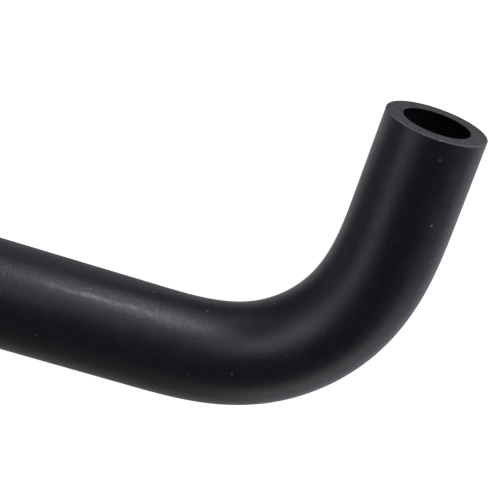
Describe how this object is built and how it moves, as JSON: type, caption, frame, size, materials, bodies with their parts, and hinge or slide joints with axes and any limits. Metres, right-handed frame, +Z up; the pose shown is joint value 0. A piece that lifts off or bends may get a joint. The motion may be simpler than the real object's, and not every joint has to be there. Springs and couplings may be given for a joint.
{
  "type": "power steering hose",
  "caption": "Moulded black rubber power steering hose with a long and a short arm joined by a smooth elbow, cut square at both open ends.",
  "frame": {"origin": "middle of the base of the bounding box, on the surface that the hose lies on", "axes": "+Z up out of the plane of the hose, +X along the long arm towards the bend, +Y to the side that the short arm turns to"},
  "size_m": [0.1786, 0.0836, 0.0243],
  "materials": {
    "black_rubber": "satin black moulded rubber, finely mottled, with a greyer knife-cut face at each end"
  },
  "bodies": {
    "root": {"hose": "black_rubber"}
  },
  "joints": []
}
